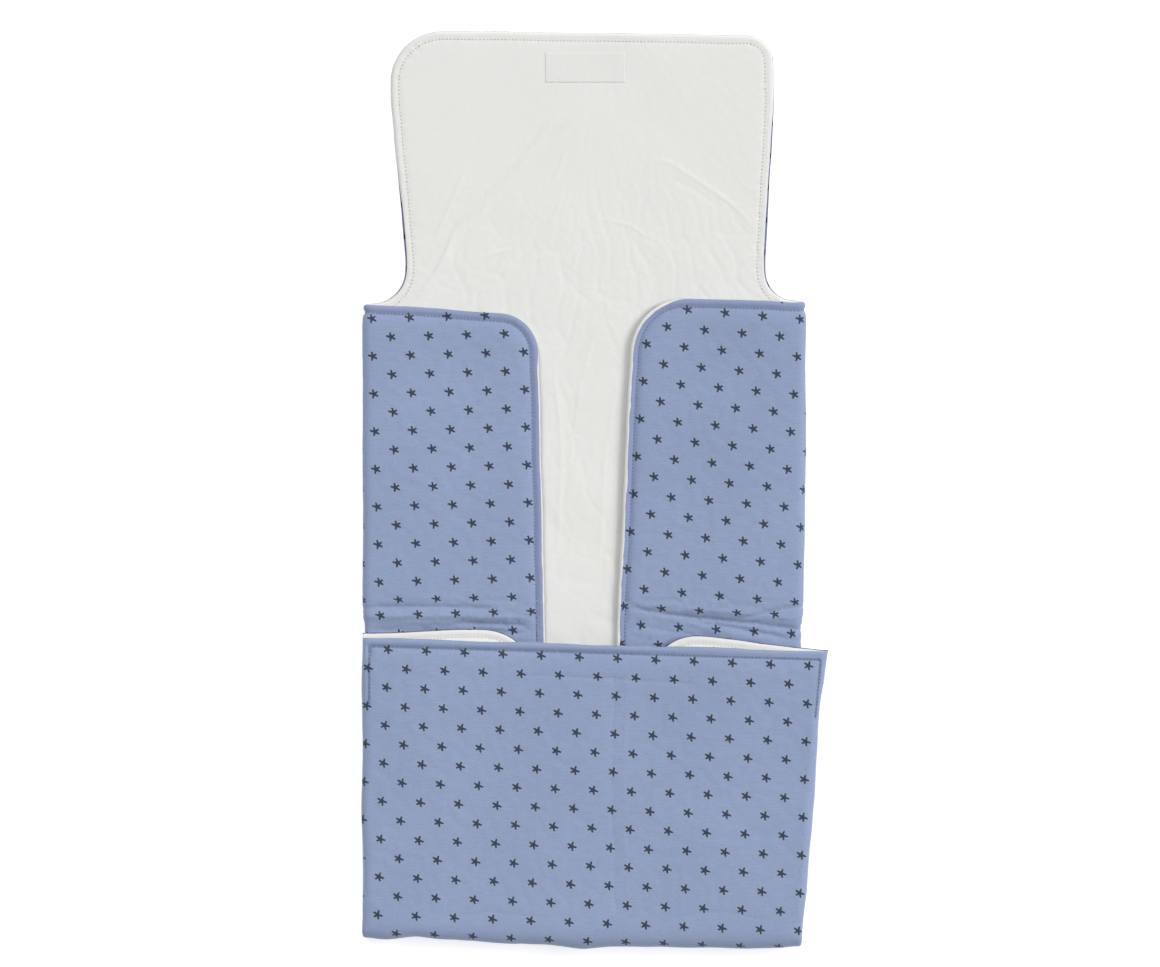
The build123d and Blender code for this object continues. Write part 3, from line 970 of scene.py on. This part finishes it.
def wing_panel(side, creases, seed):
    """A wing with its tail under the flap, and its side fold down to the back's edge."""
    left = side == "left"

    def sag(points):
        return WING_SAG * smooth((place.depth(points) - 12 * MM) / (90 * MM))

    def bulge(points):
        return 0.9 * MM * perlin(points * (0, 1), 75 * MM, seed)

    def fine(points):
        y = points[:, 1]
        return ((y < -95 * MM) & (y > -150 * MM)) | (place.depth(points) < 5 * MM)

    def loose(points):
        on_top = smooth(place.depth(points) / (15 * MM))
        return on_top * (0.45 + 0.4 * smooth((-80 * MM - points[:, 1]) / (30 * MM)))

    def taken_up(points):
        """Cloth hidden in the creases by the flap, which shifts the print."""
        x, y = points[:, 0], points[:, 1]
        if left:
            hidden = 4 * MM * smooth((-94 * MM - y) / (18 * MM))
        else:
            hidden = (0.3 * MM + 0.03 * x) * smooth((-100 * MM - y) / (14 * MM))
        return np.column_stack([0 * x, hidden])

    place = Rolled(joints[f"{side}_wing_fold"], sag, 0.82, bulge)
    wing, tail = top_outline(f"{side}_wing_outer"), top_outline(f"{side}_wing_tail_outer")
    low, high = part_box(f"{side}_wing_outer")
    tail_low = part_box(f"{side}_wing_tail_outer")[0]
    fold_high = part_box(f"{side}_side_fold_outer")[1].y
    fold_x, inner_x = (low.x, high.x) if left else (high.x, low.x)
    hinge = place.origin

    def on_fold(y):
        run = np.array([-place.inward[1], place.inward[0]])
        return hinge + run * (y - hinge[1]) / run[1]

    foot, tuck, top = on_fold(tail_low.y), (inner_x, low.y), (fold_x, high.y)
    foot_end, top_end = on_fold(foot[1]) + place.unrolled(), on_fold(fold_high) + place.unrolled()
    if left:
        hem = [[foot_end], between(tail, foot, tuck), between(wing, tuck, top), [top_end]]
        cut = [top_end, foot_end]
    else:
        hem = [[top_end], between(wing, top, tuck), between(tail, tuck, foot), [foot_end]]
        cut = [foot_end, top_end]
    sides = [("hem", np.vstack(hem)), ("cut", cut)]
    return Panel(f"{side}_wing_quilt", sides, place, wing_face, still, waves=0.55 * MM, seed=seed,
                 creases=creases, fine=fine, loose=loose, taken_up=taken_up)


FLAP_SWAY = {                        # how far the folded side edges stray inward: y, mm and mm
    "left": ((-400, -350, -290, -230, -170, -140), (0, 0.8, -0.9, 0.7, -0.6, 0)),
    "right": ((-400, -360, -290, -225, -190, -160, -140), (0, 0, -0.2, 2.0, 3.2, 1.0, 0)),
}


def swayed(side, start, end):
    """The flap's folded edge on that side, from start to end."""
    ys = np.arange(-420.0, -120)
    depth = np.interp(ys, *FLAP_SWAY[side])
    for _ in range(120):
        depth[1:-1] = (depth[:-2] + 2 * depth[1:-1] + depth[2:]) / 4
    line = start + (end - start) * np.linspace(0, 1, 90)[:, None]
    line[:, 0] += np.interp(line[:, 1] / MM, ys, depth) * MM * (1 if side == "left" else -1)
    return line


FOOT_BULGE = (                       # past the fold's nominal radius in mm, at each x in mm
    (-210, -184, -160, -118, -70, -42, -10, 14, 41, 90, 138, 170, 187),
    (0.6, 0.4, -1.6, 1.2, 2.6, 3.2, 5.0, 3.6, 2.6, 2.0, 2.6, 1.2, -0.4),
)


def flap_panel():
    """The foot flap with its rolled side edges, and the foot fold down to the back's edge."""
    def bulge(points):
        x = points[:, 0] / MM
        stand = np.interp(x, FOOT_BULGE[0], FOOT_BULGE[1])
        return stand * MM + 0.8 * MM * perlin(points * (1, 0), 30 * MM, 44)

    place = Rolled(joints["foot_flap_fold"], flap_sag, 0.8, bulge)
    bottom_left, bottom_right, top_right, top_left = flap_corners()
    low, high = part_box("foot_fold_outer")
    ends = []
    for x in (low.x + 0.4 * MM, high.x - 0.4 * MM):
        run = np.array([place.inward[1], -place.inward[0]])
        ends.append(place.origin + run * (x - place.origin[0]) / run[0])
    out_left, out_right = np.array([-ROLL_R, 0]), np.array([ROLL_R, 0])
    start_left, start_right = ends[0] + place.unrolled(), ends[1] + place.unrolled()
    sides = [
        ("cut", [start_left, start_right]), ("hem", [start_right, ends[1]]),
        ("roll", swayed("right", ends[1], top_right + out_right)),
        ("hem", [top_right + out_right, top_left + out_left]),
        ("roll", swayed("left", top_left + out_left, ends[0])), ("hem", [ends[0], start_left]),
    ]
    down_left = bottom_left - top_left
    down_left /= np.linalg.norm(down_left)
    down_right = bottom_right - top_right
    down_right /= np.linalg.norm(down_right)
    m = STITCH_MARGIN
    row = np.vstack([
        top_right + down_right * FLAP_STITCH_DROP, top_right + down_right * m,
        top_left + down_left * m, top_left + down_left * FLAP_STITCH_DROP,
    ])

    def groove(points):
        return 0.12 + 0.60 * smooth((points[:, 1] - top_left[1] + 20 * MM) / (8 * MM))

    return Panel("foot_flap_quilt", sides, place, flap_face, still, rows=[evenly(row, EDGE_STEP)],
                 waves=0.8 * MM, groove=groove, creases=FLAP_CREASES, seed=40,
                 loose=lambda points: 0.45 * smooth(place.depth(points) / (20 * MM)))


def flap_corners():
    """The flap's CAD corners: bottom left and right, top right and left."""
    loop = top_outline("foot_flap_outer")
    middle = loop.mean(0)
    low = sorted((p for p in loop if p[1] < middle[1]), key=lambda p: p[0])
    high = sorted((p for p in loop if p[1] > middle[1]), key=lambda p: p[0])
    return low[0], low[1], high[1], high[0]


def flap_sag(points):
    """The flap hangs a little between its two folded-in wings."""
    aside = np.abs(points[:, 0])
    up = smooth((points[:, 1] + 0.375) / 0.15)
    return FLAP_SAG * smooth((150 * MM - aside) / (125 * MM)) * up


def foot_wing_panel(side, seed):
    """A wing of the foot flap, folded in under it, lining up."""
    left = side == "left"
    loop = top_outline(f"{side}_foot_wing_lining")
    outward = -1 if left else 1
    if left:
        x, y = loop.T
        raised = LEFT_FOOT_WING_LIFT * smooth((-125 * MM - x) / (50 * MM)) * (y > -200 * MM)
        aside = -LEFT_FOOT_WING_SHIFT * smooth((x + 160 * MM) / (70 * MM))
        loop = loop + np.column_stack([aside, raised])
    edge = loop[:, 0] * outward
    upper = loop[(edge + 0.6 * loop[:, 1]).argmax()]
    lower = loop[(edge - 0.25 * loop[:, 1]).argmax()]
    shift = np.array([outward * ROLL_R, 0])
    if left:
        roll = swayed("left", upper + shift, lower + shift)
        hem = np.vstack([roll[-1:], between(loop, lower, upper), roll[:1]])
    else:
        roll = swayed("right", lower + shift, upper + shift)
        hem = np.vstack([roll[-1:], between(loop, upper, lower), roll[:1]])

    def sag(points):
        inside_edge = np.abs(points[:, 0] - lower[0])
        return FOOT_WING_SAG * smooth((inside_edge - 40 * MM) / (110 * MM))

    place = Lying(FOOT_WING_TOP - FOOT_WING_PANEL / 2, sag)
    return Panel(f"{side}_foot_wing_quilt", [("hem", hem), ("roll", roll)], place, still, still,
                 thick=FOOT_WING_PANEL, roll_to=1, waves=0.5 * MM, seed=seed,
                 groove=lambda points: 0.3, hem_share=0.85)


def add_rim(piece, width):
    """How far the other cotton shows at each place of the hem."""
    co = np.zeros(len(piece.data.vertices) * 3, np.float32)
    piece.data.vertices.foreach_get("co", co)
    layer = piece.data.attributes.new("rim", "FLOAT", "POINT")
    layer.data.foreach_set("value", width(co.reshape(-1, 3)).astype(np.float32))


def neck_rim(points):
    """The outer cotton shows along both sides of the neck, and hardly at the head's top."""
    x, y = points[:, 0], points[:, 1]
    low = smooth((y - 165 * MM) / (20 * MM))
    left = low * smooth((300 * MM - y) / (60 * MM)) * (x < 0)
    right = low * smooth((360 * MM - y) / (60 * MM)) * (x > 0)
    return 0.3 * MM + 1.6 * MM * (left + right) * (0.8 + 0.2 * np.sin(y * 60))


def wing_rim(points):
    """The lining shows along the wings' inner edges, more so on the right one, and round its corner."""
    x, y = points[:, 0], points[:, 1]
    left = 1.2 * MM * (x < -40 * MM) * (x > -75 * MM) * smooth((130 * MM - y) / (20 * MM))
    return left + 2.9 * MM * (x > 0) * smooth((85 * MM - x) / (25 * MM))


def make_label():
    """The blank sewn label at the top of the head panel, lying on the lining."""
    low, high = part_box("blank_label")
    columns, rows, thick = 73, 28, 0.1 * MM
    xs = np.linspace(low.x, high.x, columns)
    ys = np.linspace(low.y, high.y, rows)
    x, y = np.meshgrid(xs, ys)
    points = np.column_stack([x.ravel(), y.ravel()])
    at, _ = back.surface(points, True)
    edge = np.minimum.reduce([points[:, 0] - low.x, high.x - points[:, 0],
                              points[:, 1] - low.y, high.y - points[:, 1]])
    buckle = 0.06 * MM * perlin(points, 24 * MM, 51) * smooth(edge / (6 * MM))
    top = at.copy()
    top[:, 2] += thick * (0.35 + 0.65 * smooth(edge / (1.2 * MM))) + np.abs(buckle)
    bottom = at.copy()
    bottom[:, 2] -= 0.1 * MM
    count = len(points)
    faces = []
    for j in range(rows - 1):
        for i in range(columns - 1):
            a = j * columns + i
            quad = (a, a + 1, a + 1 + columns, a + columns)
            faces.append(quad)
            faces.append(tuple(count + k for k in reversed(quad)))
    for a, b in boundary([f for f in faces if f[0] < count]):
        faces.append((b, a, count + a, count + b))
    mesh = bpy.data.meshes.new("blank_label_cloth")
    mesh.from_pydata(np.vstack([top, bottom]).tolist(), [], faces)
    mesh.materials.append(label_satin())
    mesh.shade_smooth()
    for wall in mesh.polygons[2 * (columns - 1) * (rows - 1):]:
        wall.use_smooth = False
    return linked("blank_label_cloth", mesh)


def slanted(place, low_z, rise, lean):
    """Start and end of a blend that grows with height by rise, and with depth by lean, per metre."""
    slope = np.array([*(place.inward * lean), rise])
    start = np.array([*place.origin, low_z])
    return dict(start=tuple(start), end=tuple(start + slope / (slope @ slope)))


def layers(*names):
    """The CAD nodes of those panels and folds."""
    return [f"{name}_{layer}" for name in names for layer in ("outer", "wadding", "lining")]


def attach(piece, bodies, ends, covered=()):
    """Hides the CAD nodes the piece covers, and joins it to its one body, or, given ends, bakes its place
    into its mesh.
    """
    if covered:
        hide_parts(*covered)
    if ends:
        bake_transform(piece)
    else:
        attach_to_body(piece, *bodies)


def sew(panel, name, below, slots, bodies, ends, covered):
    """A panel's topstitching: the upper thread, and the lower one, named with below."""
    for upper, suffix, slot in ((True, "", slots[0]), (False, below, slots[1])):
        row = stitches(name + suffix, panel, upper, threads[slot])
        attach(row, bodies, ends, covered if upper else ())


back = back_panel()
left_wing = wing_panel("left", LEFT_WING_CREASES, 10)
right_wing = wing_panel("right", RIGHT_WING_CREASES, 20)
flap = flap_panel()
foot_wings = {"left": foot_wing_panel("left", 60), "right": foot_wing_panel("right", 70)}

threads = {
    "blue_thread": thread("sewing_thread_blue", (0.12, 0.155, 0.27, 1), (0.06, 0.08, 0.15, 1)),
    "white_thread": thread("sewing_thread_white", (0.66, 0.66, 0.65, 1), (0.42, 0.42, 0.42, 1)),
}
plain_lining = white_cotton("white_lining")
# These rim colours are much darker than the cotton's blue: the outer cotton with painted shade at the
# edge, and at the foot wings a painted contact shadow
back_lining = white_cotton("white_lining_back", (0.12, 0.145, 0.26, 1))
foot_lining = white_cotton("white_lining_foot", (0.13, 0.12, 0.24, 1), dip_shade=0.3)
under_cotton = star_cotton("star_cotton_under", (0.0, 0.0), 0.0)

back_piece = back.build(back_lining, under_cotton)
add_rim(back_piece, neck_rim)
neck_y = joints["head_panel_fold"]["pos_m"][1]
across_neck = dict(start=(0, neck_y - NECK_BEND, 0), end=(0, neck_y + NECK_BEND, 0))
bodies = ("back", "head_panel")
attach(back_piece, bodies, across_neck, layers("back", "head"))
sew(back, "neck_and_head_stitches", "_under", ("white_thread", "blue_thread"), bodies, across_neck,
    ("head_topstitch", "shoulder_topstitch"))

label = make_label()
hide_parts("blank_label")
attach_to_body(label, "head_panel")

WING_PRINTS = {                      # one star's place, and the print's turn
    "left": ((-200.6 * MM, 153.9 * MM), 0.0286),
    "right": ((65.2 * MM, 146.6 * MM), -0.086),
}
for side, panel in (("left", left_wing), ("right", right_wing)):
    piece = panel.build(star_cotton(f"star_cotton_{side}_wing", *WING_PRINTS[side]), plain_lining)
    add_rim(piece, wing_rim)
    ends = slanted(panel.place, FOLD_START, 90, 20)
    bodies = ("back", f"{side}_wing")
    covered = layers(f"{side}_wing", f"{side}_wing_tail", f"{side}_side_fold")
    attach(piece, bodies, ends, covered)
    sew(panel, f"{side}_wing_stitches", "_inside", ("blue_thread", "white_thread"), bodies, ends,
        (f"{side}_wing_topstitch",))

flap_cotton = star_cotton("star_cotton_flap", (-185.9 * MM, -143.3 * MM), -0.0385,
                          (34.39 * MM, 34.07 * MM), aim=-16, hem_shade=0.0, groove_shade_width=1.9 * MM)
flap_piece = flap.build(flap_cotton, plain_lining)
covered = layers("foot_flap", "foot_fold", "left_foot_edge_fold", "right_foot_edge_fold")
attach(flap_piece, ("back", "foot_flap"), slanted(flap.place, FOLD_START, 41, 6),
       covered)
sew(flap, "foot_flap_stitches", "_inside", ("blue_thread", "white_thread"), ("foot_flap",), None,
    ("foot_flap_topstitch",))

for side, panel in foot_wings.items():
    edge = joints[f"{side}_foot_wing_fold"]
    outward = np.array([edge["axis"][1], -edge["axis"][0]])
    outward *= np.sign(outward[0]) * (-1 if side == "left" else 1)
    roll = np.array(edge["pos_m"])
    ends = dict(start=tuple(roll + [*(outward * ROLL_R), 0]),
                end=tuple(roll + [*(outward * 0.2 * MM), 0]))
    bodies = ("foot_flap", f"{side}_foot_wing")
    piece = panel.build(foot_lining, under_cotton)
    add_rim(piece, lambda points: np.full(len(points), FOOT_WING_RIM))
    attach(piece, bodies, ends, layers(f"{side}_foot_wing"))
    sew(panel, f"{side}_foot_wing_stitches", "_under", ("white_thread", "blue_thread"), bodies, ends,
        (f"{side}_foot_wing_topstitch",))


# ---------------------------------------------------------------- studio

def make_floor():
    """A plain pale floor just under the bag."""
    n = Nodes("studio_floor")
    where = n.add("ShaderNodeTexCoord").outputs["Object"]
    pale = n.mix(n.noise(where, 3), (0.54, 0.54, 0.54, 1), (0.56, 0.56, 0.56, 1))
    n.set(n.shader.inputs["Base Color"], pale)
    n.shader.inputs["Roughness"].default_value = 0.9
    n.shader.inputs["Emission Color"].default_value = (1, 1, 1, 1)
    n.shader.inputs["Emission Strength"].default_value = 0.65
    mesh = bpy.data.meshes.new("studio_floor")
    size, z = 6.0, cad_bounds[0].z - 0.2 * MM
    corners = [(-size, -size, z), (size, -size, z), (size, size, z), (-size, size, z)]
    mesh.from_pydata(corners, [], [(0, 1, 2, 3)])
    mesh.materials.append(n.material)
    linked("studio_floor", mesh)


def make_light(name, towards, softness, strength):
    """A soft light that reaches the whole object evenly, from that direction."""
    lamp = bpy.data.lights.new(name, "SUN")
    lamp.angle, lamp.energy = math.radians(softness), strength
    light = linked(name, lamp)
    light.location = towards
    light.rotation_euler = Vector(towards).to_track_quat("Z", "Y").to_euler()


def make_studio():
    """Soft light from all round, and a far camera that looks straight down."""
    scene = bpy.context.scene
    make_floor()
    make_light("key_light", (2.2, 0.55, 1.8), 28, 2.0)
    make_light("fill_light", (-0.8, 1.7, 1.9), 26, 1.2)
    world = bpy.data.worlds.new("studio")
    world.use_nodes = True
    world.node_tree.nodes["Background"].inputs[0].default_value = (1, 1, 1, 1)
    world.node_tree.nodes["Background"].inputs[1].default_value = 0.40
    scene.world = world
    scene.view_settings.view_transform = "Standard"
    camera = bpy.data.cameras.new("camera")
    camera.lens, camera.sensor_width = 300, 36
    view_width = 1.044               # metres across the picture, at half the bag's height
    eye = linked("camera", camera)
    eye.location = (-0.0132, 0.0057, view_width * camera.lens / camera.sensor_width + FLAP_TOP / 2)
    scene.camera = eye


make_studio()
